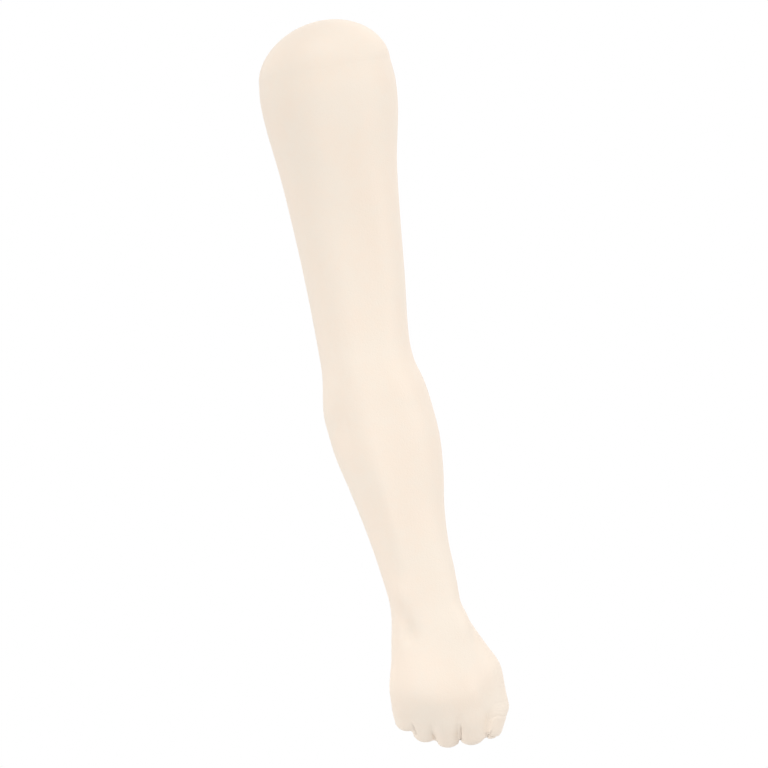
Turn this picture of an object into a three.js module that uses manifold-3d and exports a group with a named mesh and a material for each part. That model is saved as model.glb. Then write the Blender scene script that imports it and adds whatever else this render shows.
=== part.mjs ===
// A life-size practice arm for tattooists: a right arm from the shoulder to a loosely closed fist.
// A silicone skin and a silicone stump cap cover three rigid foam cores, which are threaded on an
// armature of two aluminium tubes, an elbow coupler and a palm paddle.
// Millimetres. +X runs from the stump to the knuckles, +Y to the thumb side, +Z out of the back of the hand.
// The arm lies palm down, and z = 0 is the table.
import * as THREE from "three";
import { mergeVertices } from "three/addons/utils/BufferGeometryUtils.js";
import Module from "manifold-3d";

const wasm = await Module();
wasm.setup();

// Driving sizes of the arm
const WRIST_BREADTH = 60; // all breadths of the arm, and the whole hand, go with it
const STUMP_DEPTH = 42; // the domed end
const STUMP_LEAN = 5; // how far the tip of the dome stands off the seam's centre, towards the thumb side
const UPPER_ARM_LENGTH = 276; // stump seam to elbow
const FOREARM_LENGTH = 187; // elbow to wrist
const PALM_LENGTH = 85; // wrist to knuckle line
const FIST_LENGTH = 26; // knuckle line to where the flesh between the fingers ends
const FIST_END_DEPTH = 5; // how far that flesh rounds off

// Silicone
const SKIN_THICKNESS = 8;
const SEAM_LAP_LENGTH = 14; // the cap's spigot inside the mouth of the skin
const SEAM_LAP_WALL = 4; // what is left of the skin round that spigot
const CAVITY_END_WALL = 16; // solid silicone between the palm core and the knuckle line
const FIT_GAP = 0.3; // between pieces that seat on each other
const FOAM_GAP = 0.5; // between the foam and the elbow coupler

// Armature
const UPPER_TUBE_DIAMETER = 20;
const FOREARM_TUBE_DIAMETER = 14;
const TUBE_WALL = 2;
const UPPER_TUBE_SETBACK = 34; // from the seam to the tube's upper end
const COUPLER_WALL = 4;
const UPPER_SOCKET_DEPTH = 32;
const FOREARM_SOCKET_DEPTH = 28;
const SOCKET_STOP = 5; // solid web between each socket and the bend
const PIN_DIAMETER = 4;
const PIN_RECESS = 1; // from each end of a pin to the surface of what it goes through
const PADDLE_THICKNESS = 4;
const PADDLE_WIDTH = 34;
const PADDLE_LENGTH = 40;
const PADDLE_TANG_LENGTH = 22; // the part that slides into the forearm tube
const PADDLE_CORNER_RADIUS = 8;

// How finely round forms are cut
const ARM_SIDES = 36;
const CORE_SIDES = 20;
const BONE_SIDES = 12;
const TUBE_SIDES = 18;
const DOME_RINGS = 6;

const elbowX = STUMP_DEPTH + UPPER_ARM_LENGTH;
const wristX = elbowX + FOREARM_LENGTH;
const knuckleX = wristX + PALM_LENGTH;
const fistX = knuckleX + FIST_LENGTH;

const alongUpperArm = (share) => STUMP_DEPTH + share * UPPER_ARM_LENGTH;
const alongForearm = (share) => elbowX + share * FOREARM_LENGTH;
const alongPalm = (share) => wristX + share * PALM_LENGTH;
const alongFist = (share) => knuckleX + share * FIST_LENGTH;

// The tables below are in millimetres for a wrist 60 mm broad.
const girth = WRIST_BREADTH / 60;

// Sections of the arm. y and z are the section's centre; back, front, under and over are how far the
// surface lies from it towards -Y, +Y, -Z and +Z; corner is the superellipse power, 2 for an ellipse.
// In the hand, tilt turns a section down with the fingers, in degrees; bow and droop are how far its
// little-finger edge lies back and down.
const sectionColumns = ["x", "y", "z", "back", "front", "under", "over", "corner", "bow", "droop", "tilt"];
const sections = [
  [alongUpperArm(0.0), -4, 52, 57, 57.5, 51, 51, 2.1],
  [alongUpperArm(0.07), -4, 52.5, 59.2, 59, 53.3, 53, 2.1],
  [alongUpperArm(0.16), -5, 52, 57, 57.5, 52, 51.5, 2.1],
  [alongUpperArm(0.32), -7, 49.5, 50.5, 50.5, 47.5, 47, 2.15],
  [alongUpperArm(0.5), -8.5, 46, 45.3, 46.3, 43.5, 43.5, 2.2],
  [alongUpperArm(0.68), -10, 43.5, 41.3, 42.7, 40.5, 41, 2.2],
  [alongUpperArm(0.86), -12, 42, 39, 39.7, 39.5, 40, 2.2],
  [alongUpperArm(0.935), -12, 42, 39.3, 40.6, 40.5, 40.5, 2.2],
  [alongForearm(0.01), -13, 42, 40.8, 46.4, 40.8, 41, 2.2],
  [alongForearm(0.13), -15, 41.5, 40.4, 51.6, 39.8, 40, 2.1],
  [alongForearm(0.28), -16, 41, 36.6, 54.7, 38, 38.5, 2.1],
  [alongForearm(0.44), -15, 41, 30.4, 51.2, 34.5, 35.5, 2.1],
  [alongForearm(0.6), -12, 41, 26.4, 44, 30.5, 31.5, 2.1],
  [alongForearm(0.76), -9, 41.5, 24.2, 39.3, 27, 27, 2.2],
  [alongForearm(0.92), -5, 42, 23.9, 36.4, 23, 23, 2.3],
  [alongPalm(0.06), 0, 42, 27.9, 33.3, 21, 20.8, 2.4],
  [alongPalm(0.35), 1, 43.4, 31.5, 33.2, 19.5, 19.5, 2.4, 0, 1],
  [alongPalm(0.67), 0, 45.2, 37.2, 36, 18, 17.5, 2.4, 3, 3],
  [alongPalm(1.0), -2, 46.2, 39, 37, 16, 15.7, 2.5, 11, 5, 13],
  [alongFist(0.5), -2.5, 39.7, 38, 35.5, 12, 12, 2.7, 17, 3, 31],
  [alongFist(1.0), -3, 30.7, 36.5, 33.5, 8.5, 9, 3, 21, 1, 37],
].map((row) => Object.fromEntries(sectionColumns.map((column, k) => [column, row[k] ?? 0])));

// Muscles, bones and hollows that stand out of those sections. angle is round the arm from +Y
// towards +Z, in degrees; along and around are how far a form spreads; height is its rise.
const forms = [
  { name: "deltoid", x: alongUpperArm(0.2), angle: 95, along: 46, around: 42, height: 2.4 },
  { name: "deltoid insertion", x: alongUpperArm(0.5), angle: 98, along: 26, around: 24, height: -1.4 },
  { name: "triceps, outer head", x: alongUpperArm(0.46), angle: 148, along: 58, around: 28, height: 2 },
  { name: "groove before triceps", x: alongUpperArm(0.62), angle: 72, along: 58, around: 16, height: -1.4 },
  { name: "biceps", x: alongUpperArm(0.52), angle: 25, along: 62, around: 30, height: 1.4 },
  { name: "inner biceps groove", x: alongUpperArm(0.55), angle: -62, along: 70, around: 16, height: -1.6 },
  { name: "outer epicondyle", x: alongUpperArm(0.93), angle: 108, along: 15, around: 18, height: 1.8 },
  { name: "inner epicondyle", x: alongUpperArm(0.97), angle: -118, along: 14, around: 16, height: 1.6 },
  { name: "point of elbow", x: alongForearm(0.08), angle: 172, along: 15, around: 18, height: 1.2 },
  { name: "hollow beside elbow", x: alongForearm(0.16), angle: 138, along: 17, around: 15, height: -2.6 },
  { name: "thumb-side muscle", x: alongForearm(0.2), angle: 52, along: 44, around: 26, height: 2.2 },
  { name: "extensor ridge", x: alongForearm(0.42), angle: 104, along: 58, around: 18, height: 1.8 },
  { name: "flat behind the ridge", x: alongForearm(0.5), angle: 146, along: 62, around: 20, height: -2.2 },
  { name: "flexor belly", x: alongForearm(0.3), angle: -80, along: 55, around: 40, height: 1.4 },
  { name: "head of the ulna", x: alongForearm(0.95), angle: 122, along: 11, around: 20, height: 2.4 },
  { name: "wrist hollow", x: alongPalm(0.16), angle: 138, along: 10, around: 18, height: -2 },
];

const BOW_START = 14; // where bow and droop begin, beside the middle finger
const BOW_WIDTH = 50; // from there to the little-finger edge

// Fingers. knuckle is the joint's centre, measured from the knuckle line, the arm's centreline and
// the table; bones are the three lengths between joint centres; bends are the joint angles in degrees.
const fingers = [
  {
    name: "index", knuckle: [-1.6, 23.5, 48.9], turn: -3,
    bones: [44, 24, 16], bends: [29, 112, 66], radii: [11.7, 10.2, 9, 8],
  },
  {
    name: "middle", knuckle: [1.2, 3.2, 50.2], turn: -2,
    bones: [44, 27, 17], bends: [38, 110, 66], radii: [12.2, 10.3, 9.2, 8.2],
  },
  {
    name: "ring", knuckle: [-3.8, -16, 48.1], turn: -1,
    bones: [41, 25.5, 16.5], bends: [41, 108, 64], radii: [11.5, 9.9, 8.8, 7.8],
  },
  {
    name: "little", knuckle: [-11.9, -30.8, 43.8], turn: -3,
    bones: [33.5, 19.5, 14.5], bends: [39, 110, 60], radii: [10.4, 8.9, 7.9, 7.1],
  },
];
const FINGER_BREADTH = 1.06; // breadth of a finger over its depth
const FINGER_WAIST = 0.6; // how much a bone's middle is slimmer than its ends

// Thumb, on the same origin: base, knuckle, middle joint and tip, and the flesh round each of them.
const thumb = {
  joints: [[-61, 17, 37], [-15, 41.5, 32.5], [13, 46.2, 29.5], [32.3, 38.8, 27]],
  radii: [17, 15.2, 12.8, 10.2],
  waists: [0, 0.2, 0.7],
  back: [0.1, 0.82, 0.57],
};
// Flesh that joins the thumb and the heel of the hand to the palm: its two ends, the radius at each,
// its breadth over its depth, and how much its middle stands out.
const pads = [
  {
    name: "ball of the thumb", from: [-56, 8, 33], to: [-24, 24, 30], radii: [12.5, 12.5],
    breadth: 1.5, belly: 3.5,
  },
  { name: "first web", from: [-62, 13, 45], to: [-10, 33, 42], radii: [11, 9], breadth: 1.8, belly: 0 },
  {
    name: "thumb against index", from: [-12, 31.5, 37], to: [25, 32, 29.5], radii: [11.5, 8.8],
    breadth: 1, belly: 0,
  },
  {
    name: "heel of the hand", from: [-62, -11, 35], to: [-20, -22, 36], radii: [13.5, 12],
    breadth: 1.1, belly: 3,
  },
  { name: "inside of the fist", from: [12, 14, 24], to: [8, -30, 24], radii: [12, 9], breadth: 1, belly: 0 },
];
const FINGER_WEB_SHARE = 0.62; // radius of the flesh between two fingers over the fingers' radius

const NAIL_RISE = 0.5; // above the flesh
const NAIL_BREADTH_SHARE = 0.78; // of the fingertip's breadth
const NAIL_START_SHARE = 0.35; // along the last bone
const NAIL_END_SHARE = 0.62; // of the fingertip's radius, past the last joint centre
const NAIL_CORNER_RADIUS = 3;

const AXIS_X = new THREE.Vector3(1, 0, 0);
const AXIS_Y = new THREE.Vector3(0, 1, 0);
const AXIS_Z = new THREE.Vector3(0, 0, 1);

// Geometry helpers

// A closed manifold-3d solid from a three.js geometry, with its shared vertices merged.
function solidFrom(geometry) {
  const bare = new THREE.BufferGeometry();
  bare.setAttribute("position", geometry.getAttribute("position"));
  bare.setIndex(geometry.getIndex());
  const merged = mergeVertices(bare, 1e-4);
  const corners = merged.getIndex().array;
  const faces = [];
  for (let i = 0; i < corners.length; i += 3) {
    const [a, b, c] = [corners[i], corners[i + 1], corners[i + 2]];
    if (a !== b && b !== c && c !== a) faces.push(a, b, c);
  }
  return new wasm.Manifold(
    new wasm.Mesh({
      numProp: 3,
      vertProperties: merged.getAttribute("position").array,
      triVerts: new Uint32Array(faces),
    }),
  );
}

function geometryFrom(solid) {
  const mesh = solid.getMesh();
  const geometry = new THREE.BufferGeometry();
  geometry.setAttribute("position", new THREE.BufferAttribute(mesh.vertProperties, 3));
  geometry.setIndex(new THREE.BufferAttribute(mesh.triVerts, 1));
  const faceted = geometry.toNonIndexed();
  faceted.computeVertexNormals();
  return faceted;
}

const joined = (solids) => solids.reduce((whole, solid) => whole.add(solid));

// A closed skin through rings of points, with a flat fan at each end.
function loft(rings) {
  const sides = rings[0].length;
  const points = rings.flat();
  const faces = [];
  for (let ring = 0; ring + 1 < rings.length; ring++) {
    for (let side = 0; side < sides; side++) {
      const next = (side + 1) % sides;
      const a = ring * sides + side;
      const b = ring * sides + next;
      faces.push(a, b, b + sides, a, b + sides, a + sides);
    }
  }
  const middle = (ring) => ring.reduce((sum, p) => sum.add(p), new THREE.Vector3()).divideScalar(sides);
  const first = points.push(middle(rings[0])) - 1;
  const last = points.push(middle(rings[rings.length - 1])) - 1;
  const lastRing = (rings.length - 1) * sides;
  for (let side = 0; side < sides; side++) {
    const next = (side + 1) % sides;
    faces.push(first, next, side, last, lastRing + side, lastRing + next);
  }
  const geometry = new THREE.BufferGeometry().setFromPoints(points);
  geometry.setIndex(faces);
  return geometry;
}

// Moves a geometry made along +Y so that it starts at a point and runs in a direction.
function stood(geometry, start, direction, back = AXIS_Z, breadth = 1) {
  const along = direction.clone().normalize();
  const upright = Math.abs(along.dot(back)) > 0.99;
  const across = new THREE.Vector3().crossVectors(along, upright ? AXIS_Y : back).normalize();
  const outward = new THREE.Vector3().crossVectors(across, along);
  const place = new THREE.Matrix4().makeBasis(across.multiplyScalar(breadth), along, outward);
  return geometry.applyMatrix4(place.setPosition(start));
}

// A bone with its flesh: round ends of two radii, and a side that draws in between them.
function bone(from, to, startRadius, endRadius, back, breadth = 1, waist = 0) {
  const arcSteps = 3;
  const shaftSteps = 2;
  const length = from.distanceTo(to);
  const profile = [];
  for (let step = 0; step < arcSteps; step++) {
    const angle = (Math.PI / 2) * (step / arcSteps);
    profile.push(new THREE.Vector2(startRadius * Math.sin(angle), -startRadius * Math.cos(angle)));
  }
  for (let step = 0; step <= shaftSteps; step++) {
    const share = step / shaftSteps;
    const radius = THREE.MathUtils.lerp(startRadius, endRadius, share);
    profile.push(new THREE.Vector2(radius - waist * Math.sin(Math.PI * share), share * length));
  }
  for (let step = 1; step <= arcSteps; step++) {
    const angle = (Math.PI / 2) * (step / arcSteps);
    profile.push(new THREE.Vector2(endRadius * Math.cos(angle), length + endRadius * Math.sin(angle)));
  }
  profile[0].x = 0;
  profile[profile.length - 1].x = 0;
  const flesh = new THREE.LatheGeometry(profile, BONE_SIDES);
  return solidFrom(stood(flesh, from, to.clone().sub(from), back, breadth));
}

function rod(from, to, diameter, sides = TUBE_SIDES) {
  const length = from.distanceTo(to);
  const bar = new THREE.CylinderGeometry(diameter / 2, diameter / 2, length, sides);
  return solidFrom(stood(bar.translate(0, length / 2, 0), from, to.clone().sub(from)));
}

// The form of the arm

// A column of the section table at x, on a smooth curve through its values.
function sectionValue(x, key) {
  const unit = key === "corner" || key === "tilt" ? 1 : girth;
  let next = sections.findIndex((section) => section.x >= x);
  if (next < 0) next = sections.length - 1;
  next = Math.max(next, 1);
  const [before, after] = [sections[next - 1], sections[next]];
  const slopeAt = (index) => {
    const low = sections[Math.max(index - 1, 0)];
    const high = sections[Math.min(index + 1, sections.length - 1)];
    return (high[key] - low[key]) / (high.x - low.x);
  };
  const span = after.x - before.x;
  const t = THREE.MathUtils.clamp((x - before.x) / span, 0, 1);
  const [startSlope, endSlope] = [slopeAt(next - 1) * span, slopeAt(next) * span];
  const rise = after[key] - before[key];
  const [bend, twist] = [3 * rise - 2 * startSlope - endSlope, startSlope + endSlope - 2 * rise];
  return unit * (before[key] + t * (startSlope + t * (bend + t * twist)));
}

function formHeight(x, angle) {
  let height = 0;
  for (const form of forms) {
    const along = (x - form.x) / (form.along * girth);
    const turn = THREE.MathUtils.radToDeg(angle) - form.angle;
    const around = (THREE.MathUtils.euclideanModulo(turn + 180, 360) - 180) / form.around;
    height += form.height * girth * Math.exp(-along * along - around * around);
  }
  return height;
}

// A ring of the arm's surface at x, brought in by inset. scale shrinks it towards its centre, push
// moves it along the arm and lean moves it towards +Y, for the ends.
function armRing(x, { inset = 0, sides = ARM_SIDES, scale = 1, push = 0, lean = 0 } = {}) {
  const value = (key) => sectionValue(x, key);
  const tilt = THREE.MathUtils.degToRad(value("tilt"));
  const along = AXIS_X.clone().applyAxisAngle(AXIS_Y, tilt);
  const up = AXIS_Z.clone().applyAxisAngle(AXIS_Y, tilt);
  const centre = new THREE.Vector3(x, value("y") + lean, value("z")).addScaledVector(along, push);
  const ring = [];
  for (let side = 0; side < sides; side++) {
    const angle = (2 * Math.PI * side) / sides;
    const [c, s] = [Math.cos(angle), Math.sin(angle)];
    const power = 2 / value("corner");
    const reach = formHeight(x, angle) - inset;
    const halfY = value(c > 0 ? "front" : "back") + reach;
    const halfZ = value(s > 0 ? "over" : "under") + reach;
    const outY = Math.sign(c) * Math.abs(c) ** power * halfY * scale;
    const outZ = Math.sign(s) * Math.abs(s) ** power * halfZ * scale;
    const beyond = BOW_START - (centre.y + outY) / girth;
    const swept = THREE.MathUtils.clamp(beyond / BOW_WIDTH, 0, 1) ** 2;
    const point = centre.clone().addScaledVector(AXIS_Y, outY).addScaledVector(up, outZ);
    ring.push(point.sub(new THREE.Vector3(value("bow") * swept, 0, value("droop") * swept)));
  }
  return ring;
}

function evenSteps(from, to, pitch) {
  const count = Math.max(1, Math.round((to - from) / pitch));
  return Array.from({ length: count + 1 }, (_, k) => from + ((to - from) * k) / count);
}

const ringsAt = (stations, options) => stations.map((x) => armRing(x, options));

// Rings that close the arm's surface at x as half an ellipsoid of that depth, towards -X or +X.
function domeRings(x, depth, direction, options) {
  const rings = [];
  for (let step = 1; step <= DOME_RINGS; step++) {
    const angle = (Math.PI / 2) * (step / (DOME_RINGS + 0.35));
    const reach = Math.sin(angle);
    const lean = direction < 0 ? STUMP_LEAN * reach : 0;
    rings.push(armRing(x, { ...options, scale: Math.cos(angle), push: direction * depth * reach, lean }));
  }
  return direction < 0 ? rings.reverse() : rings;
}

const armPoint = (x, back, over) =>
  new THREE.Vector3(x, sectionValue(x, "y") + back, sectionValue(x, "z") + over);

const fromKnuckles = ([x, y, z]) => new THREE.Vector3(knuckleX + x * girth, y * girth, z * girth);

// The hand

function fingerJoints(finger) {
  const forward = AXIS_X.clone().applyAxisAngle(AXIS_Z, THREE.MathUtils.degToRad(finger.turn));
  const joints = [fromKnuckles(finger.knuckle)];
  const backs = [];
  let bend = 0;
  finger.bones.forEach((length, k) => {
    bend += THREE.MathUtils.degToRad(finger.bends[k]);
    const [c, s] = [Math.cos(bend), Math.sin(bend)];
    const direction = forward.clone().multiplyScalar(c).addScaledVector(AXIS_Z, -s);
    backs.push(forward.clone().multiplyScalar(s).addScaledVector(AXIS_Z, c));
    joints.push(joints[k].clone().addScaledVector(direction, length * girth));
  });
  return { joints, backs };
}

// A rounded plate cut from the flesh of the last bone, raised a little.
function nail(from, to, startRadius, endRadius, back, breadth) {
  const along = to.clone().sub(from);
  const length = along.length();
  const half = endRadius * NAIL_BREADTH_SHARE;
  const [start, end] = [length * NAIL_START_SHARE, length + endRadius * NAIL_END_SHARE];
  const round = Math.min(NAIL_CORNER_RADIUS, half * 0.8, (end - start) * 0.4);
  const outline = new THREE.Shape();
  outline.absarc(half - round, end - round, round, 0, Math.PI / 2);
  outline.absarc(-half + round, end - round, round, Math.PI / 2, Math.PI);
  outline.absarc(-half + round, start + round, round, Math.PI, 1.5 * Math.PI);
  outline.absarc(half - round, start + round, round, 1.5 * Math.PI, 2 * Math.PI);
  const depth = 2 * endRadius;
  const punch = new THREE.ExtrudeGeometry(outline, { depth, bevelEnabled: false, curveSegments: 2 });
  const raised = bone(from, to, startRadius + NAIL_RISE, endRadius + NAIL_RISE, back, breadth);
  return raised.intersect(solidFrom(stood(punch, from, along, back)));
}

function fingerFlesh(finger) {
  const { joints, backs } = fingerJoints(finger);
  const radii = finger.radii.map((radius) => radius * girth);
  const flesh = finger.bones.map((_, k) =>
    bone(joints[k], joints[k + 1], radii[k], radii[k + 1], backs[k], FINGER_BREADTH, FINGER_WAIST),
  );
  return [...flesh, nail(joints[2], joints[3], radii[2], radii[3], backs[2], FINGER_BREADTH)];
}

function thumbFlesh() {
  const joints = thumb.joints.map(fromKnuckles);
  const back = new THREE.Vector3(...thumb.back).normalize();
  const radii = thumb.radii.map((radius) => radius * girth);
  const flesh = thumb.waists.map((waist, k) =>
    bone(joints[k], joints[k + 1], radii[k], radii[k + 1], back, 1, waist),
  );
  return [...flesh, nail(joints[2], joints[3], radii[2], radii[3], back, 1)];
}

// Two fingers pressed together share flesh at the joint of that index.
function fingerWeb(finger, neighbour, joint) {
  const [near, far] = [finger, neighbour].map((each) => fingerJoints(each).joints[joint]);
  const share = FINGER_WEB_SHARE * girth;
  return bone(near, far, finger.radii[joint] * share, neighbour.radii[joint] * share, AXIS_Z);
}

function handFlesh() {
  const webs = fingers
    .slice(1)
    .flatMap((finger, k) => [1, 2].map((joint) => fingerWeb(finger, fingers[k], joint)));
  const flesh = pads.map(({ from, to, radii, breadth, belly }) => {
    const [start, end] = radii.map((radius) => radius * girth);
    return bone(fromKnuckles(from), fromKnuckles(to), start, end, AXIS_Z, breadth, -belly * girth);
  });
  return [...webs, ...flesh, ...fingers.flatMap(fingerFlesh), ...thumbFlesh()];
}

// Everything below the table is pressed flat.
function aboveTable(solid) {
  const slab = new THREE.BoxGeometry(2 * knuckleX, knuckleX, SKIN_THICKNESS);
  slab.translate(knuckleX / 2, 0, -SKIN_THICKNESS / 2);
  return solid.subtract(solidFrom(slab));
}

// Silicone pieces

const seamX = STUMP_DEPTH;
const cavityEndX = knuckleX - CAVITY_END_WALL;
const lapEndX = seamX + SEAM_LAP_LENGTH;

// The skin's cavity and the cores in it share these stations, so that their facets lie side by side.
const innerStations = [
  ...evenSteps(seamX, elbowX, 23),
  ...evenSteps(elbowX, wristX, 21).slice(1),
  ...evenSteps(wristX, cavityEndX, 17).slice(1),
];

function innerRings(fromX, toX, inset) {
  const between = innerStations.filter((x) => x > fromX && x < toX);
  return ringsAt([fromX, ...between, toX], { inset, sides: CORE_SIDES });
}

function skinSolid() {
  const outside = [
    ...ringsAt(evenSteps(seamX, elbowX, 16)),
    ...ringsAt(evenSteps(elbowX, wristX, 11).slice(1)),
    ...ringsAt(evenSteps(wristX, knuckleX, 11).slice(1)),
    ...ringsAt(evenSteps(knuckleX, fistX, 6).slice(1)),
    ...domeRings(fistX, FIST_END_DEPTH, 1),
  ];
  const cavity = innerRings(seamX - 1, cavityEndX, SKIN_THICKNESS);
  const mouth = ringsAt([seamX - 1, lapEndX + FIT_GAP], { inset: SEAM_LAP_WALL, sides: CORE_SIDES });
  return aboveTable(joined([solidFrom(loft(outside)), ...handFlesh()]))
    .subtract(solidFrom(loft(cavity)))
    .subtract(solidFrom(loft(mouth)));
}

function capSolid() {
  const edgeX = seamX - FIT_GAP;
  const dome = [...domeRings(edgeX, STUMP_DEPTH - FIT_GAP, -1), armRing(edgeX)];
  const lapInset = SEAM_LAP_WALL + FIT_GAP;
  const spigot = ringsAt([edgeX - 1, lapEndX], { inset: lapInset, sides: CORE_SIDES });
  const hollow = [
    ...domeRings(seamX, STUMP_DEPTH - SKIN_THICKNESS, -1, { inset: SKIN_THICKNESS, sides: CORE_SIDES }),
    ...innerRings(seamX, lapEndX + 1, SKIN_THICKNESS),
  ];
  return aboveTable(solidFrom(loft(dome)).add(solidFrom(loft(spigot)))).subtract(solidFrom(loft(hollow)));
}

// Armature lines

const elbowPoint = armPoint(elbowX, 0, 0);
const upperTubeTop = armPoint(seamX + UPPER_TUBE_SETBACK, 0, 0);
const wristPoint = armPoint(wristX, 0, 0);
const upperAxis = elbowPoint.clone().sub(upperTubeTop).normalize();
const forearmAxis = wristPoint.clone().sub(elbowPoint).normalize();
const upperTubeEnd = elbowPoint.clone().addScaledVector(upperAxis, -SOCKET_STOP - FIT_GAP);
const forearmTubeStart = elbowPoint.clone().addScaledVector(forearmAxis, SOCKET_STOP + FIT_GAP);
const forearmTubeEnd = wristPoint.clone().addScaledVector(forearmAxis, PADDLE_TANG_LENGTH / 2);
const upperSocketMouth = elbowPoint.clone().addScaledVector(upperAxis, -SOCKET_STOP - UPPER_SOCKET_DEPTH);
const forearmSocketMouth = elbowPoint
  .clone()
  .addScaledVector(forearmAxis, SOCKET_STOP + FOREARM_SOCKET_DEPTH);
const UPPER_SOCKET_DIAMETER = UPPER_TUBE_DIAMETER + 2 * FIT_GAP;
const FOREARM_SOCKET_DIAMETER = FOREARM_TUBE_DIAMETER + 2 * FIT_GAP;
const COUPLER_UPPER_DIAMETER = UPPER_SOCKET_DIAMETER + 2 * COUPLER_WALL;
const COUPLER_FOREARM_DIAMETER = FOREARM_SOCKET_DIAMETER + 2 * COUPLER_WALL;

const past = (point, axis, distance) => point.clone().addScaledVector(axis, distance);

// Each cross pin stands along Z: through the middle of a socket, or of the paddle's tang.
const upperPinPoint = past(upperSocketMouth, upperAxis, UPPER_SOCKET_DEPTH / 2);
const forearmPinPoint = past(forearmSocketMouth, forearmAxis, -FOREARM_SOCKET_DEPTH / 2);
const paddlePinPoint = past(forearmTubeEnd, forearmAxis, -PADDLE_TANG_LENGTH / 2);

const crossRod = (point, length, diameter) =>
  rod(past(point, AXIS_Z, -length / 2), past(point, AXIS_Z, length / 2), diameter, 16);

const pinSolid = (point, throughDiameter) => crossRod(point, throughDiameter - 2 * PIN_RECESS, PIN_DIAMETER);
const PIN_HOLE_DIAMETER = PIN_DIAMETER + 2 * FIT_GAP;
const pinHole = (point, throughDiameter) => crossRod(point, 1.5 * throughDiameter, PIN_HOLE_DIAMETER);

// A tube with a hole for each cross pin.
function tubeSolid(from, to, diameter, pinPoints) {
  const axis = to.clone().sub(from).normalize();
  const bore = rod(past(from, axis, -1), past(to, axis, 1), diameter - 2 * TUBE_WALL);
  return pinPoints.reduce(
    (tube, point) => tube.subtract(pinHole(point, diameter)),
    rod(from, to, diameter).subtract(bore),
  );
}

function couplerOutline(clearance = 0) {
  const upper = rod(
    past(upperSocketMouth, upperAxis, -clearance), elbowPoint, COUPLER_UPPER_DIAMETER + 2 * clearance);
  const lower = rod(
    elbowPoint, past(forearmSocketMouth, forearmAxis, clearance), COUPLER_FOREARM_DIAMETER + 2 * clearance);
  const bend = new THREE.SphereGeometry(COUPLER_UPPER_DIAMETER / 2 + clearance, TUBE_SIDES, 10);
  return joined([upper, lower, solidFrom(bend.translate(...elbowPoint.toArray()))]);
}

function couplerSolid() {
  const upperStop = past(elbowPoint, upperAxis, -SOCKET_STOP);
  const forearmStop = past(elbowPoint, forearmAxis, SOCKET_STOP);
  return couplerOutline()
    .subtract(rod(past(upperSocketMouth, upperAxis, -1), upperStop, UPPER_SOCKET_DIAMETER))
    .subtract(rod(forearmStop, past(forearmSocketMouth, forearmAxis, 1), FOREARM_SOCKET_DIAMETER))
    .subtract(pinHole(upperPinPoint, COUPLER_UPPER_DIAMETER))
    .subtract(pinHole(forearmPinPoint, COUPLER_FOREARM_DIAMETER));
}

// The palm paddle with a clearance all round it: a wide plate with a tang for the forearm tube.
function paddleOutline(clearance = 0) {
  const [half, round] = [PADDLE_WIDTH / 2 + clearance, PADDLE_CORNER_RADIUS];
  const tangHalf = FOREARM_TUBE_DIAMETER / 2 - TUBE_WALL - 1 + clearance;
  const tangEnd = -PADDLE_TANG_LENGTH;
  const end = PADDLE_LENGTH + clearance;
  const shape = new THREE.Shape();
  shape.moveTo(tangEnd, -tangHalf);
  shape.lineTo(-clearance, -tangHalf);
  shape.lineTo(-clearance, -half);
  shape.lineTo(end - round, -half);
  shape.absarc(end - round, -half + round, round, -Math.PI / 2, 0);
  shape.absarc(end - round, half - round, round, 0, Math.PI / 2);
  shape.lineTo(-clearance, half);
  shape.lineTo(-clearance, tangHalf);
  shape.lineTo(tangEnd, tangHalf);
  const depth = PADDLE_THICKNESS + 2 * clearance;
  const plate = new THREE.ExtrudeGeometry(shape, { depth, bevelEnabled: false, curveSegments: 6 });
  plate.translate(0, 0, -depth / 2);
  const across = new THREE.Vector3().crossVectors(AXIS_Z, forearmAxis).normalize();
  const outward = new THREE.Vector3().crossVectors(forearmAxis, across);
  const start = past(forearmTubeEnd, forearmAxis, FIT_GAP);
  const place = new THREE.Matrix4().makeBasis(forearmAxis, across, outward).setPosition(start);
  return solidFrom(plate.applyMatrix4(place));
}

const paddleSolid = () => paddleOutline().subtract(pinHole(paddlePinPoint, FOREARM_TUBE_DIAMETER));

const forearmTubeSolid = () =>
  tubeSolid(forearmTubeStart, forearmTubeEnd, FOREARM_TUBE_DIAMETER, [forearmPinPoint, paddlePinPoint]);

// Foam cores

const CORE_INSET = SKIN_THICKNESS + FIT_GAP;

function upperCoreSolid() {
  const rings = [
    ...domeRings(seamX, STUMP_DEPTH - CORE_INSET, -1, { inset: CORE_INSET, sides: CORE_SIDES }),
    ...innerRings(seamX, elbowX - FIT_GAP / 2, CORE_INSET),
  ];
  const bore = rod(
    past(upperTubeTop, upperAxis, -FIT_GAP), upperTubeEnd, UPPER_TUBE_DIAMETER + 2 * FIT_GAP);
  return solidFrom(loft(rings)).subtract(bore).subtract(couplerOutline(FOAM_GAP));
}

function forearmCoreSolid() {
  const rings = innerRings(elbowX + FIT_GAP / 2, wristX - FIT_GAP / 2, CORE_INSET);
  const bore = rod(forearmTubeStart, past(forearmTubeEnd, forearmAxis, 1), FOREARM_SOCKET_DIAMETER);
  return solidFrom(loft(rings)).subtract(bore).subtract(couplerOutline(FOAM_GAP));
}

function palmCoreSolid() {
  const rings = innerRings(wristX + FIT_GAP / 2, cavityEndX - FIT_GAP, CORE_INSET);
  const boreEnd = past(forearmTubeEnd, forearmAxis, FIT_GAP);
  const bore = rod(past(wristPoint, forearmAxis, -1), boreEnd, FOREARM_SOCKET_DIAMETER);
  return solidFrom(loft(rings)).subtract(bore).subtract(paddleOutline(FIT_GAP));
}

// Materials and the assembly

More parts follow.
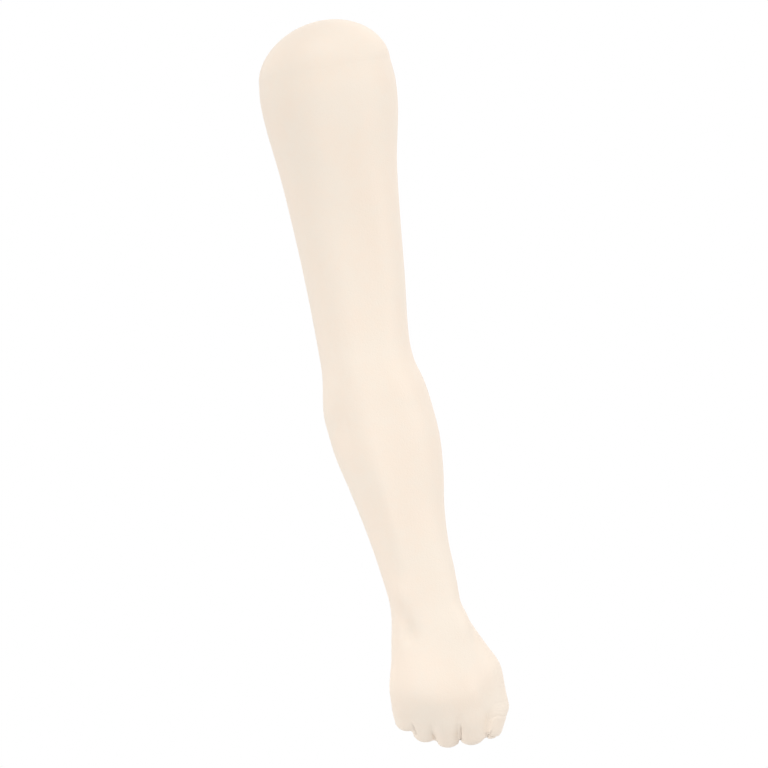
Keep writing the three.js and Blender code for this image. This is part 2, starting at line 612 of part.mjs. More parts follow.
const silicone = new THREE.MeshStandardMaterial({ color: 0xf3e2d0, roughness: 0.55, metalness: 0 });
const foam = new THREE.MeshStandardMaterial({ color: 0xe9dcb4, roughness: 0.95, metalness: 0 });
const aluminium = new THREE.MeshStandardMaterial({ color: 0xb8bcc0, roughness: 0.4, metalness: 1 });
const steel = new THREE.MeshStandardMaterial({ color: 0x8d9196, roughness: 0.35, metalness: 1 });
const nylon = new THREE.MeshStandardMaterial({ color: 0x2f3133, roughness: 0.6, metalness: 0 });

const pieces = [
  ["silicone_skin", skinSolid(), silicone],
  ["stump_cap", capSolid(), silicone],
  ["upper_arm_core", upperCoreSolid(), foam],
  ["forearm_core", forearmCoreSolid(), foam],
  ["palm_core", palmCoreSolid(), foam],
  ["upper_arm_tube", tubeSolid(upperTubeTop, upperTubeEnd, UPPER_TUBE_DIAMETER, [upperPinPoint]), aluminium],
  ["forearm_tube", forearmTubeSolid(), aluminium],
  ["elbow_coupler", couplerSolid(), nylon],
  ["upper_elbow_pin", pinSolid(upperPinPoint, COUPLER_UPPER_DIAMETER), steel],
  ["lower_elbow_pin", pinSolid(forearmPinPoint, COUPLER_FOREARM_DIAMETER), steel],
  ["palm_paddle", paddleSolid(), aluminium],
  ["paddle_pin", pinSolid(paddlePinPoint, FOREARM_TUBE_DIAMETER), steel],
];

const arm = new THREE.Group();
for (const [name, solid, material] of pieces) {
  const mesh = new THREE.Mesh(geometryFrom(solid), material);
  mesh.name = name;
  arm.add(mesh);
}

// The origin goes to the middle of the footprint, on the table.
const bounds = new THREE.Box3().setFromObject(arm);
const middle = bounds.getCenter(new THREE.Vector3());
arm.position.set(-middle.x, -middle.y, -bounds.min.z);

export default arm;
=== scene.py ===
import math

import bmesh
import bpy
from mathutils import Matrix, Vector


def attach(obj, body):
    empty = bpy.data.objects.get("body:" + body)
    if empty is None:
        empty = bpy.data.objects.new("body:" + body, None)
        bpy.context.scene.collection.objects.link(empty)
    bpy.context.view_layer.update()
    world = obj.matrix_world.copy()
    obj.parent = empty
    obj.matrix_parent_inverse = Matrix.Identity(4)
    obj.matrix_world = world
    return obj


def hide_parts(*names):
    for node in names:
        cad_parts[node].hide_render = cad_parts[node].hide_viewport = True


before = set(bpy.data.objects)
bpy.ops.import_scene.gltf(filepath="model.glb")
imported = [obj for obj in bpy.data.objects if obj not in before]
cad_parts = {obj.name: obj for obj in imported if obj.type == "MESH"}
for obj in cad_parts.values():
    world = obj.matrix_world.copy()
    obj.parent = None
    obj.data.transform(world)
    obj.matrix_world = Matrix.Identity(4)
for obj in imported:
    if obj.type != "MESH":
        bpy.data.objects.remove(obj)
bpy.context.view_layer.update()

# The arm is worked out in millimetres: x from the tip of the stump, y from the arm's centreline
# towards the thumb, z from the table. inFrame() brings a finished mesh to its place in metres.
armOrigin = Vector((-318.5856, 2.1579, 0))


# Camera, table and light

photoView = {
    "millimetresPerPixel": 0.86,
    "middle": (317.3, -0.3),  # what the middle of the picture shows
    "turn": 10,  # degrees that the arm is turned in the picture
    "distance": 10.0,
    "heightInFocus": 0.045,
    "sensor": 36.0,
    "pixels": 768,
    "clipEnd": 100,
}
studio = {
    "table": 7.0,
    "tableBelow": 0.0004,
    "tableLight": (1.0, 0.45),  # round the arm, and far from it
    "tableFade": (0.5, 2.2),
    "surround": 0.5,
}
# soft square lamps: where, aimed at, size, watts
lamps = {
    "fromThumbSide": ((0, 3.2, 1.6), (0, 0, 0), 2.0, 41.0),
    "fromLittleFingerSide": ((0.9, -3.2, 1.6), (0.1, 0, 0), 2.0, 14.5),
    "fromShoulderEnd": ((-3.3, -0.1, 1.15), (-0.1, 0, 0), 2.0, 39.5),
    "overHand": ((0.29, -0.35, 1.0), (0.24, 0, 0), 0.7, 3.7),
}


def setCamera():
    t = math.radians(photoView["turn"])
    right = Vector((math.sin(t), math.cos(t), 0))
    up = Vector((-math.cos(t), math.sin(t), 0))
    back = right.cross(up)
    x, y = photoView["middle"]
    middle = (Vector((x, y, 0)) + armOrigin) / 1000
    data = bpy.data.cameras.new("photoCamera")
    data.sensor_width = photoView["sensor"]
    width = photoView["pixels"] * photoView["millimetresPerPixel"] / 1000
    data.lens = photoView["sensor"] * photoView["distance"] / width
    data.clip_end = photoView["clipEnd"]
    camera = bpy.data.objects.new("photoCamera", data)
    place = Matrix((right, up, back)).transposed().to_4x4()
    place.translation = middle + back * (photoView["heightInFocus"] + photoView["distance"])
    camera.matrix_world = place
    bpy.context.scene.collection.objects.link(camera)
    bpy.context.scene.camera = camera


def setStage():
    scene = bpy.context.scene
    scene.view_settings.view_transform = "Standard"
    scene.view_settings.look = "None"

    bm = bmesh.new()
    half = studio["table"] / 2
    bmesh.ops.create_grid(bm, x_segments=4, y_segments=4, size=half)
    bmesh.ops.translate(bm, verts=bm.verts, vec=(0, 0, -studio["tableBelow"]))
    data = bpy.data.meshes.new("tabletop")
    bm.to_mesh(data)
    bm.free()
    tabletop = bpy.data.objects.new("tabletop", data)
    scene.collection.objects.link(tabletop)
    white = bpy.data.materials.new("whiteTable")
    white.use_nodes = True
    shader = white.node_tree.nodes["Principled BSDF"]
    shader.inputs["Base Color"].default_value = (0, 0, 0, 1)
    shader.inputs["Roughness"].default_value = 1
    shader.inputs["Specular IOR Level"].default_value = 0
    shader.inputs["Emission Color"].default_value = (1, 1, 1, 1)
    nodes, links = white.node_tree.nodes, white.node_tree.links
    place = nodes.new("ShaderNodeTexCoord")
    away = nodes.new("ShaderNodeVectorMath")
    away.operation = "LENGTH"
    fade = nodes.new("ShaderNodeMapRange")
    fade.interpolation_type = "SMOOTHSTEP"
    for socket, value in zip(("From Min", "From Max"), studio["tableFade"]):
        fade.inputs[socket].default_value = value
    for socket, value in zip(("To Min", "To Max"), studio["tableLight"]):
        fade.inputs[socket].default_value = value
    links.new(place.outputs["Object"], away.inputs[0])
    links.new(away.outputs["Value"], fade.inputs["Value"])
    links.new(fade.outputs["Result"], shader.inputs["Emission Strength"])
    data.materials.append(white)

    world = bpy.data.worlds.new("studioWorld")
    world.use_nodes = True
    background = world.node_tree.nodes["Background"]
    background.inputs["Color"].default_value = (1, 1, 1, 1)
    background.inputs["Strength"].default_value = studio["surround"]
    scene.world = world

    for name, (place, target, size, power) in lamps.items():
        light = bpy.data.lights.new(name, "AREA")
        light.size, light.energy = size, power
        lamp = bpy.data.objects.new(name, light)
        lamp.location = place
        lamp.rotation_euler = (Vector(target) - Vector(place)).to_track_quat("-Z", "Y").to_euler()
        scene.collection.objects.link(lamp)
    print("camera, table and light set")


setCamera()
setStage()


# The form of the arm: sections, and the muscles and bones that stand out of them

arm = {
    "stumpDepth": 42.0,
    "domeDepth": 41.8,
    "domeDraw": 0.06,  # keeps the dome in line with the arm's swell at the seam
    "stumpLean": 5.0,
    "upperArm": 276.0,
    "forearm": 187.0,
    "palm": 85.0,
    "fist": 26.0,
    "fistEnd": 5.0,
    "bowStart": 14.0,
    "bowWidth": 50.0,
    "sides": 152,
    "ringPitch": 3.0,
    "flatEnd": (0, 0.5),  # of the section, the rings that close a flat end
    "muscleReach": 3,  # times its spread, to each side along the arm
    "weldWithin": 1e-4,
    "sharpFrom": 60,  # degrees between two faces
}
elbowX = arm["stumpDepth"] + arm["upperArm"]
wristX = elbowX + arm["forearm"]
knuckleX = wristX + arm["palm"]
fistX = knuckleX + arm["fist"]


def onUpperArm(share):
    return arm["stumpDepth"] + share * arm["upperArm"]


def onForearm(share):
    return elbowX + share * arm["forearm"]


def onPalm(share):
    return wristX + share * arm["palm"]


def onFist(share):
    return knuckleX + share * arm["fist"]


# x; centre y and z; half-breadths back, front, under and over; corner power; and in the hand the
# little-finger edge's bow and droop, and the tilt down with the fingers
sectionColumns = ("x", "y", "z", "back", "front", "under", "over", "corner", "bow", "droop", "tilt")
sectionRows = [
    (onUpperArm(0), -4, 52, 57, 57.5, 51, 51, 2.1, 0, 0, 0),
    (onUpperArm(0.07), -4, 52.5, 59, 59, 53.3, 52.75, 2.1, 0, 0, 0),
    (onUpperArm(0.16), -5, 52, 56.7, 57.7, 52, 51.3, 2.1, 0, 0, 0),
    (onUpperArm(0.32), -7, 49.5, 49.6, 50.7, 47.5, 47, 2.15, 0, 0, 0),
    (onUpperArm(0.5), -8.5, 46, 44.6, 46, 43.5, 43.5, 2.2, 0, 0, 0),
    (onUpperArm(0.68), -10, 43.5, 41.5, 43, 40.5, 41, 2.2, 0, 0, 0),
    (onUpperArm(0.86), -12, 42, 39, 40, 39.5, 40, 2.2, 0, 0, 0),
    (onUpperArm(0.935), -12, 42, 39.3, 40.9, 40.5, 40.5, 2.2, 0, 0, 0),
    (onForearm(0.01), -13, 42, 40.7, 47.2, 40.8, 41, 2.2, 0, 0, 0),
    (onForearm(0.13), -15, 41.5, 40.1, 52.4, 39.8, 40, 2.1, 0, 0, 0),
    (onForearm(0.28), -16, 41, 36.6, 55.2, 38, 38.5, 2.1, 0, 0, 0),
    (onForearm(0.44), -15, 41, 30.8, 52, 34.5, 35.5, 2.1, 0, 0, 0),
    (onForearm(0.6), -12, 41, 27.3, 44.6, 30.5, 31.5, 2.1, 0, 0, 0),
    (onForearm(0.76), -9, 41.5, 24.9, 39.9, 27, 27, 2.2, 0, 0, 0),
    (onForearm(0.92), -5, 42, 24.8, 37.2, 23, 23, 2.3, 0, 0, 0),
    (onPalm(0.06), 0, 42, 28.4, 32.7, 21, 20.8, 2.4, 0, 0, 0),
    (onPalm(0.35), 1, 43.4, 33.3, 36.7, 19.5, 19.5, 2.4, 0, 1, 0),
    (onPalm(0.67), 0, 45.2, 38.8, 38.6, 18, 17.5, 2.4, 3, 3, 0),
    (onPalm(1), -2, 46.2, 42.4, 38, 16, 15.7, 2.5, 11, 4.5, 13),
    (onFist(0.5), -2.5, 39.7, 38, 35.5, 12, 12, 2.7, 17, 3, 31),
    (onFist(1), -3, 30.7, 36.5, 33.5, 8.5, 9, 3, 21, 1, 37),
]
sections = [dict(zip(sectionColumns, row)) for row in sectionRows]

# x, angle from +Y towards +Z, spread along and around, height
muscles = {
    "deltoid": (onUpperArm(0.2), 95, 46, 42, 2.4),
    "deltoid insertion": (onUpperArm(0.5), 98, 26, 24, -1.4),
    "triceps, outer head": (onUpperArm(0.46), 148, 58, 28, 2.0),
    "groove before triceps": (onUpperArm(0.62), 72, 58, 16, -1.4),
    "biceps": (onUpperArm(0.52), 25, 62, 30, 1.4),
    "inner biceps groove": (onUpperArm(0.55), -62, 70, 16, -1.6),
    "outer epicondyle": (onUpperArm(0.93), 108, 15, 18, 1.8),
    "inner epicondyle": (onUpperArm(0.97), -118, 14, 16, 1.6),
    "point of elbow": (onForearm(0.08), 172, 15, 18, 1.2),
    "hollow beside elbow": (onForearm(0.16), 138, 17, 15, -2.6),
    "thumb-side muscle": (onForearm(0.2), 52, 44, 26, 2.2),
    "extensor ridge": (onForearm(0.46), 86, 62, 22, 2.2),
    "flat behind the ridge": (onForearm(0.54), 125, 68, 26, -2.0),
    "flexor belly": (onForearm(0.3), -80, 55, 40, 1.4),
    "head of the ulna": (onForearm(0.97), 122, 12, 22, 2.3),
    "wrist hollow": (onPalm(0.3), 120, 11, 13, -3.0),
    "back of the wrist": (onPalm(0.38), 112, 15, 26, -1.9),
    "hollow before the thumb": (onPalm(0.1), 5, 7, 34, -1.0),
}


def sectionAt(x):
    # every column of the section table at x, on a smooth curve through its rows
    after = next((k for k, row in enumerate(sections) if row["x"] >= x), len(sections) - 1)
    after = max(after, 1)
    start, end = sections[after - 1], sections[after]
    low, high = sections[max(after - 2, 0)], sections[min(after + 1, len(sections) - 1)]
    span = end["x"] - start["x"]
    t = min(max((x - start["x"]) / span, 0), 1)
    values = {}
    for key in sectionColumns[1:]:
        slopeIn = (end[key] - low[key]) / (end["x"] - low["x"]) * span
        slopeOut = (high[key] - start[key]) / (high["x"] - start["x"]) * span
        rise = end[key] - start[key]
        bend, twist = 3 * rise - 2 * slopeIn - slopeOut, slopeIn + slopeOut - 2 * rise
        values[key] = start[key] + t * (slopeIn + t * (bend + t * twist))
    return values


def muscleHeight(x, angle):
    height = 0
    for formX, formAngle, along, around, rise in muscles.values():
        away = ((x - formX) / along) ** 2
        if away < arm["muscleReach"] ** 2:
            turned = (math.degrees(angle) - formAngle + 180) % 360 - 180
            height += rise * math.exp(-away - (turned / around) ** 2)
    return height


def signedPower(value, power):
    return math.copysign(abs(value) ** power, value)


def armRing(x, sides, inset=0, scale=1, push=0, lean=0):
    section = sectionAt(x)
    tilt = math.radians(section["tilt"])
    along = Vector((math.cos(tilt), 0, -math.sin(tilt)))
    up = Vector((math.sin(tilt), 0, math.cos(tilt)))
    centre = Vector((x, section["y"] + lean, section["z"])) + along * push
    power = 2 / section["corner"]
    ring = []
    for side in range(sides):
        angle = 2 * math.pi * side / sides
        c, s = math.cos(angle), math.sin(angle)
        reach = muscleHeight(x, angle) - inset
        outY = signedPower(c, power) * (section["front" if c > 0 else "back"] + reach) * scale
        outZ = signedPower(s, power) * (section["over" if s > 0 else "under"] + reach) * scale
        beyond = (arm["bowStart"] - centre.y - outY) / arm["bowWidth"]
        swept = min(max(beyond, 0), 1) ** 2
        sweep = Vector((section["bow"] * swept, 0, section["droop"] * swept))
        ring.append(centre + Vector((0, outY, 0)) + up * outZ - sweep)
    return ring


def evenSteps(start, end, pitch):
    count = max(1, round(abs(end - start) / pitch))
    return [start + (end - start) * k / count for k in range(count + 1)]


def surfaceThrough(rings):
    # a grid bent round so that each of its rows lies on a ring; a ring of no size becomes a pole
    sides = len(rings[0])
    bm = bmesh.new()
    bmesh.ops.create_grid(bm, x_segments=len(rings) - 1, y_segments=sides, size=1)
    for vert in bm.verts:
        row = round((vert.co.x + 1) / 2 * (len(rings) - 1))
        column = round((vert.co.y + 1) / 2 * sides) % sides
        vert.co = rings[row][column]
    bmesh.ops.remove_doubles(bm, verts=bm.verts, dist=arm["weldWithin"])
    for edge in bm.edges:
        if edge.is_manifold and edge.calc_face_angle(0) > math.radians(arm["sharpFrom"]):
            edge.smooth = False
    return bm


def pressFlat(bm):
    # where the silicone lies on the table
    for vert in bm.verts:
        vert.co.z = max(vert.co.z, 0)


def inFrame(bm):
    bmesh.ops.translate(bm, verts=bm.verts, vec=armOrigin)
    bmesh.ops.scale(bm, verts=bm.verts, vec=(0.001, 0.001, 0.001))


def finishPiece(name, bm, material):
    for face in bm.faces:
        face.smooth = True
    data = bpy.data.meshes.new(name)
    bm.to_mesh(data)
    bm.free()
    data.materials.append(material)
    piece = bpy.data.objects.new(name, data)
    bpy.context.scene.collection.objects.link(piece)
    count = sum(len(polygon.vertices) - 2 for polygon in data.polygons)
    print(name, "made,", count, "triangles")
    return piece


# The hand: bones with their flesh, melted into the end of the arm

hand = {
    "startX": 468.0,  # where the hand's own mesh begins, inside the forearm
    "joinX": 494.0,  # where it is stitched to the arm
    "joinGap": 2.5,
    "sides": 120,
    "ringPitch": 3.0,
    "voxel": 1.15,
    "fingerBreadth": 1.13,
    "fingerWaists": (-1.6, 0.7, 0.7),  # less than nothing is a belly
    "webShare": 0.55,
    "webStartRadius": 10.2,
    "webEndRadius": 8.8,
    "webLength": 0.55,  # of the first bones
    "endSteps": 6,
    "boneSides": 32,
    "boneRings": 28,
    "boneShaft": 0.42,  # of the sphere's height that becomes the straight part
}
fingers = {
    "index": {
        "knuckle": (0.6, 23.9, 48.7), "turn": -3.3, "bones": (39.4, 27.4, 16),
        "bends": (27, 106, 74), "radii": (11.9, 11.3, 9.6, 8.3),
    },
    "middle": {
        "knuckle": (3, 2.9, 49.8), "turn": -2.6, "bones": (39.8, 30.4, 17),
        "bends": (36, 102, 76), "radii": (12.3, 10.6, 9.4, 8.4),
    },
    "ring": {
        "knuckle": (-2.6, -16, 48), "turn": -1, "bones": (36.6, 30, 16.5),
        "bends": (34.5, 104.5, 74), "radii": (11.7, 10.3, 9.0, 8.0),
    },
    "little": {
        "knuckle": (-11.9, -30.3, 44.4), "turn": -1.4, "bones": (30, 24.4, 14.5),
        "bends": (23, 114, 72), "radii": (10.9, 10.0, 8.4, 7.5),
    },
}
thumb = {
    "joints": ((-61, 17.5, 37), (-15, 43.6, 32.5), (17, 45.4, 29.5), (33.4, 38.4, 27)),
    "radii": (17, 15.2, 12.6, 11),
    "waists": (0, 1.0, 0.2),
    "back": (0.12, 0.76, 0.64),
}
# from, to, radius at each end, breadth, belly
pads = {
    "ball of the thumb": ((-56, 8, 33), (-24, 24, 30), 12.7, 12.7, 1.5, 3.5),
    "first web": ((-62, 13, 45), (-10, 33, 42), 11, 9, 1.8, 0),
    "thumb saddle": ((-52, 20, 43), (-4, 33.5, 40.5), 12.5, 10.8, 1, 0),
    "thumb against index": ((-12, 31.5, 37.5), (29.5, 32.6, 28.5), 12.6, 9.6, 1, 0),
    "heel of the hand": ((-62, -11, 35), (-20, -22, 36), 13.5, 12, 1.1, 3),
    "inside of the fist": ((12, 14, 24), (8, -30, 24), 12, 9, 1, 0),
}


def fromKnuckles(point):
    return Vector((knuckleX + point[0], point[1], point[2]))


def fingerJoints(finger):
    turn = math.radians(finger["turn"])
    forward = Vector((math.cos(turn), math.sin(turn), 0))
    joints, backs, bend = [fromKnuckles(finger["knuckle"])], [], 0
    for length, more in zip(finger["bones"], finger["bends"]):
        bend += math.radians(more)
        direction = forward * math.cos(bend) - Vector((0, 0, math.sin(bend)))
        backs.append(forward * math.sin(bend) + Vector((0, 0, math.cos(bend))))
        joints.append(joints[-1] + direction * length)
    return joints, backs


def addBone(bm, start, end, startRadius, endRadius, back, breadth=1, waist=0):
    # a round-ended rod of flesh from a sphere: its two outer parts become the ends
    made = bmesh.ops.create_uvsphere(
        bm, u_segments=hand["boneSides"], v_segments=hand["boneRings"], radius=1)
    along = (end - start).normalized()
    length = (end - start).length
    nearlyAlong = abs(along.dot(back)) >= 0.99
    side = along.cross(Vector((0, 1, 0)) if nearlyAlong else back).normalized()
    outward = side.cross(along)
    shaft = hand["boneShaft"]
    for vert in made["verts"]:
        height = math.asin(min(max(vert.co.z, -1), 1)) / (math.pi / 2)
        around = math.atan2(vert.co.y, vert.co.x)
        if abs(height) > shaft:
            turn = (abs(height) - shaft) / (1 - shaft) * math.pi / 2
            radius = endRadius if height > 0 else startRadius
            place = length + radius * math.sin(turn) if height > 0 else -radius * math.sin(turn)
            radius *= math.cos(turn)
        else:
            share = (height + shaft) / (2 * shaft)
            radius = startRadius + (endRadius - startRadius) * share
            radius -= waist * math.sin(math.pi * share)
            place = share * length
        flat = side * (radius * math.cos(around) * breadth) + outward * (radius * math.sin(around))
        vert.co = start + along * place + flat


def handForms():
    stations = evenSteps(hand["startX"], fistX, hand["ringPitch"])
    rings = [armRing(stations[0], hand["sides"], scale=share) for share in arm["flatEnd"]]
    rings += [armRing(x, hand["sides"]) for x in stations]
    for step in range(1, hand["endSteps"] + 1):
        turn = math.pi / 2 * step / hand["endSteps"]
        push = arm["fistEnd"] * math.sin(turn)
        rings.append(armRing(fistX, hand["sides"], scale=math.cos(turn), push=push))
    bm = surfaceThrough(rings)
    up = Vector((0, 0, 1))
    jointsOf = {name: fingerJoints(finger) for name, finger in fingers.items()}
    for name, finger in fingers.items():
        joints, backs = jointsOf[name]
        for k in range(3):
            addBone(bm, joints[k], joints[k + 1], finger["radii"][k], finger["radii"][k + 1],
                    backs[k], hand["fingerBreadth"], hand["fingerWaists"][k])
    names = list(fingers)
    for name, neighbour in zip(names[1:], names):
        addBone(bm, jointsOf[name][0][2], jointsOf[neighbour][0][2],
                fingers[name]["radii"][2] * hand["webShare"],
                fingers[neighbour]["radii"][2] * hand["webShare"], up)
        start = (jointsOf[name][0][0] + jointsOf[neighbour][0][0]) / 2
        end = (jointsOf[name][0][1] + jointsOf[neighbour][0][1]) / 2
        addBone(bm, start, start.lerp(end, hand["webLength"]),
                hand["webStartRadius"], hand["webEndRadius"], up)
    thumbJoints = [fromKnuckles(point) for point in thumb["joints"]]
    thumbBack = Vector(thumb["back"]).normalized()
    for k, waist in enumerate(thumb["waists"]):
        addBone(bm, thumbJoints[k], thumbJoints[k + 1], thumb["radii"][k], thumb["radii"][k + 1],
                thumbBack, 1, waist)
    for start, end, startRadius, endRadius, breadth, belly in pads.values():
        addBone(bm, fromKnuckles(start), fromKnuckles(end), startRadius, endRadius, up, breadth, -belly)
    return bm


def meltedTogether(bm, voxel):
    # one skin round everything in bm
    data = bpy.data.meshes.new("handForms")
    bm.to_mesh(data)
    bm.free()
    rough = bpy.data.objects.new("handForms", data)
    bpy.context.scene.collection.objects.link(rough)
    remesh = rough.modifiers.new("melt", "REMESH")
    remesh.mode = "VOXEL"
    remesh.voxel_size = voxel
    remesh.adaptivity = 0
    bpy.context.view_layer.update()
    melted = rough.evaluated_get(bpy.context.evaluated_depsgraph_get()).to_mesh()
    bm = bmesh.new()
    bm.from_mesh(melted)
    bpy.data.objects.remove(rough)
    bpy.data.meshes.remove(data)
    return bm


# rounds of smoothing, and the stretches of x or of height over which each area sets in
softening = {
    "pull": 0.5,  # of the way to the neighbours, in each round
    "rounds": 5,
    "regain": 0.53,  # the share of each round's move that is taken back
    "backRounds": 240,
    "backHeight": (28, 38),
    "backStart": (534, 554),
    "backEnd": (622, 604),
    "palmRounds": 90,
    "palmHeight": (46, 36),
    "palmEnd": (590, 572),
}


def soften(bm, verts, rounds, weightAt, regain=0):
    # smooths fully where the weight is 1 and not at all where it is 0; regain wins back the volume
    before = [vert.co.copy() for vert in verts]
    factors = (softening["pull"], -regain) if regain else (softening["pull"],)
    for _ in range(rounds):
        for factor in factors:
            bmesh.ops.smooth_vert(bm, verts=verts, factor=factor,
                                  use_axis_x=True, use_axis_y=True, use_axis_z=True)
    for vert, old in zip(verts, before):
        vert.co = old.lerp(vert.co, weightAt(old))


def ramp(value, low, high):
    t = min(max((value - low) / (high - low), 0), 1)
    return t * t * (3 - 2 * t)


def backOfHand(point):
    ends = ramp(point.x, *softening["backStart"]), ramp(point.x, *softening["backEnd"])
    return ramp(point.z, *softening["backHeight"]) * ends[0] * ends[1]


def palmSide(point):
    return ramp(point.z, *softening["palmHeight"]) * ramp(point.x, *softening["palmEnd"])


# Nails, finger-joint folds, palm creases and clefts, pressed into the melted hand

handDetail = {
    "nailRise": 0.35,
    "nailFold": 0.3,
    "underNail": 0.9,
    "nailBreadth": 0.78,  # of the fingertip's radius, to each side
    "nailStart": 0.35,  # of the last bone's length
    "nailEnd": 0.62,  # of the fingertip's radius, past the bone
    "nailCorner": 4.2,
    "nailFromMiddle": 0.2,  # of the radius, below which the finger has no nail
    "nailEdge": (0.1, -0.7),  # from the outline inwards, where the nail rises
    "nailTip": (2.5, 0.5),  # before its end, where the fold deepens
    "nailFoldOff": 0.5,
    "nailFoldOffAtTip": 0.2,  # added to it
    "nailFoldWidth": 0.55,
    "nailGlossEdge": (0.2, -0.4),
    "jointFolds": (-22, -7, 7, 22),  # degrees round the joint
    "jointFoldDepth": 0.14,
    "jointFoldWidth": 0.75,
    "jointFoldFade": (1, 0.45),  # of the radius, across the finger
    "creaseDepth": 0.6,
    "creaseWidth": 0.9,
    "creaseRunOut": 0.2,  # of its length, at each end
    "creaseReach": 9,
    "creaseBelow": 42,  # in height
    "creaseFacing": (-0.1, -0.4),  # how far the surface looks down where creases set in
    "cleftWidth": 0.7,
    "cleftRunOut": 9.0,
    "cleftStart": 10,  # past the knuckles
    "cleftHeight": (20, 28),
    "cleftFineFrom": 0.04,
    "fullFold": 0.6,  # depth at which a fold has its whole painted shade
    # depth at which a cleft has its whole painted shade
    "fullCleft": 1.8,
    "nailReach": 2.2,  # of the radius, round the fingertip
    "nailFineReach": 1.6,
    "jointReach": 1.5,  # of the radius, round the joint
    "jointFineReach": 1.3,
    "jointFineOut": 0.5,  # of the radius, outwards
}
# lines in the palm and at the wrist, x and y from the knuckle line, seen from below
palmCreases = {
    "round the ball of the thumb": ((2, 30), (-12, 17), (-26, 5), (-46, 0), (-66, 6)),
    "across the palm": ((0, 16), (-15, 2), (-22, -16), (-21, -34)),
    "first wrist line": ((-77, 27), (-80, 12), (-81, -4), (-77, -24)),
    "second wrist line": ((-85, 18), (-88, 4), (-87, -10), (-84, -19)),
}
# where two fingers press together, seen from above: start, end and depth. Each is a groove with painted
# shade in it; the thumb-and-index one paints the shade at the thumb's tip.
clefts = {
    "index and middle": ((25, 14.5), (43, 10.6), 1.9),
    "middle and ring": ((27, -11.8), (40, -9), 1.0),
    "ring and little": ((16.5, -27.6), (29, -25.6), 1.2),
    "thumb and index": ((34.5, 42), (44, 33.4), 1.1),
}


def axesOf(along, back):
    side = along.cross(back).normalized()
    return along, side, side.cross(along)


def detailPlaces():
    # the tips that have a nail, and the joints that have folds across their backs
    nails, joints = [], []
    for finger in fingers.values():
        places, backs = fingerJoints(finger)
        nails.append((places[2], places[3], finger["radii"][3], backs[2]))
        for k in (1, 2):
            along = (places[k + 1] - places[k - 1]).normalized()
            joints.append((places[k], finger["radii"][k], *axesOf(along, backs[k - 1] + backs[k])))
    places = [fromKnuckles(point) for point in thumb["joints"]]
    back = Vector(thumb["back"]).normalized()
    nails.append((places[2], places[3], thumb["radii"][3], back))
    along = (places[3] - places[1]).normalized()
    joints.append((places[2], thumb["radii"][2], *axesOf(along, back)))
    return nails, joints


def nailLift(point, start, end, radius, back):
    # how far the nail or the fold round it lifts the point, and how much of the point is nail
    along, side, outward = axesOf((end - start).normalized(), back)
    away = point - start
    if away.dot(outward) < handDetail["nailFromMiddle"] * radius:
        return 0, 0
    length = (end - start).length
    low, high = length * handDetail["nailStart"], length + radius * handDetail["nailEnd"]
    half, corner = radius * handDetail["nailBreadth"], handDetail["nailCorner"]
    across = abs(away.dot(side)) - half + corner
    lengthwise = abs(away.dot(along) - (low + high) / 2) - (high - low) / 2 + corner
    beyond = math.hypot(max(across, 0), max(lengthwise, 0)) + min(max(across, lengthwise), 0) - corner
    lift = handDetail["nailRise"] * ramp(beyond, *handDetail["nailEdge"])
    tipStart, tipEnd = handDetail["nailTip"]
    atTip = ramp(away.dot(along), high - tipStart, high - tipEnd)
    depth = handDetail["nailFold"] + (handDetail["underNail"] - handDetail["nailFold"]) * atTip
    off = beyond - handDetail["nailFoldOff"] - handDetail["nailFoldOffAtTip"] * atTip
    lift -= depth * math.exp(-(off / handDetail["nailFoldWidth"]) ** 2)
    return lift, ramp(beyond, *handDetail["nailGlossEdge"])


def foldDepth(point, centre, radius, along, side, outward):
    away, fade = point - centre, handDetail["jointFoldFade"]
    across = abs(away.dot(side)) / radius
    if across > fade[0]:
        return 0
    turn = math.atan2(away.dot(along), away.dot(outward))
    depth = 0
    for fold in handDetail["jointFolds"]:
        off = (turn - math.radians(fold)) * away.length / handDetail["jointFoldWidth"]
        depth += math.exp(-off * off)
    return depth * handDetail["jointFoldDepth"] * ramp(across, *fade)


def offLine(point, start, end):
    # how far a point is from a line seen from above, and how far along it
    span = end - start
    away = Vector((point.x, point.y)) - start
    share = away.dot(span) / span.length_squared
    return (away - span * min(max(share, 0), 1)).length, share


def curveThrough(points, steps=4):
    # a smooth line through the points
    spots = [Vector((knuckleX + x, y)) for x, y in points]
    spots = [spots[0] * 2 - spots[1], *spots, spots[-1] * 2 - spots[-2]]
    line = []
    for before, start, end, after in zip(spots, spots[1:], spots[2:], spots[3:]):
        for step in range(steps):
            t = step / steps
            bend = (start - end) * 1.5 + (after - before) / 2
            swing = before - start * 2.5 + end * 2 - after / 2
            line.append(start + t * ((end - before) / 2 + t * (swing + t * bend)))
    return line + [spots[-2]]


creaseLines = [curveThrough(points) for points in palmCreases.values()]


def creaseDepth(point):
    depth = 0
    for line in creaseLines:
        for k, (start, end) in enumerate(zip(line, line[1:])):
            if max(abs(point.x - start.x), abs(point.y - start.y)) > handDetail["creaseReach"]:
                continue
            off, share = offLine(point, start, end)
            off /= handDetail["creaseWidth"]
            place = (k + min(max(share, 0), 1)) / (len(line) - 1)
            fade = ramp(min(place, 1 - place), 0, handDetail["creaseRunOut"])
            depth = max(depth, math.exp(-off * off) * fade)
    return depth * handDetail["creaseDepth"]


def cleftDepth(point):
    depth = 0
    for *ends, deepest in clefts.values():
        start, end = [Vector((knuckleX + x, y)) for x, y in ends]
        off, share = offLine(point, start, end)
        off /= handDetail["cleftWidth"]
        reach = (end - start).length / handDetail["cleftRunOut"]
        depth = max(depth, deepest * math.exp(-off * off) * ramp(share * reach, 0, 1))
    return depth


def mayBeInCleft(point):
    return point.x > knuckleX + handDetail["cleftStart"] and point.z > handDetail["cleftHeight"][0]


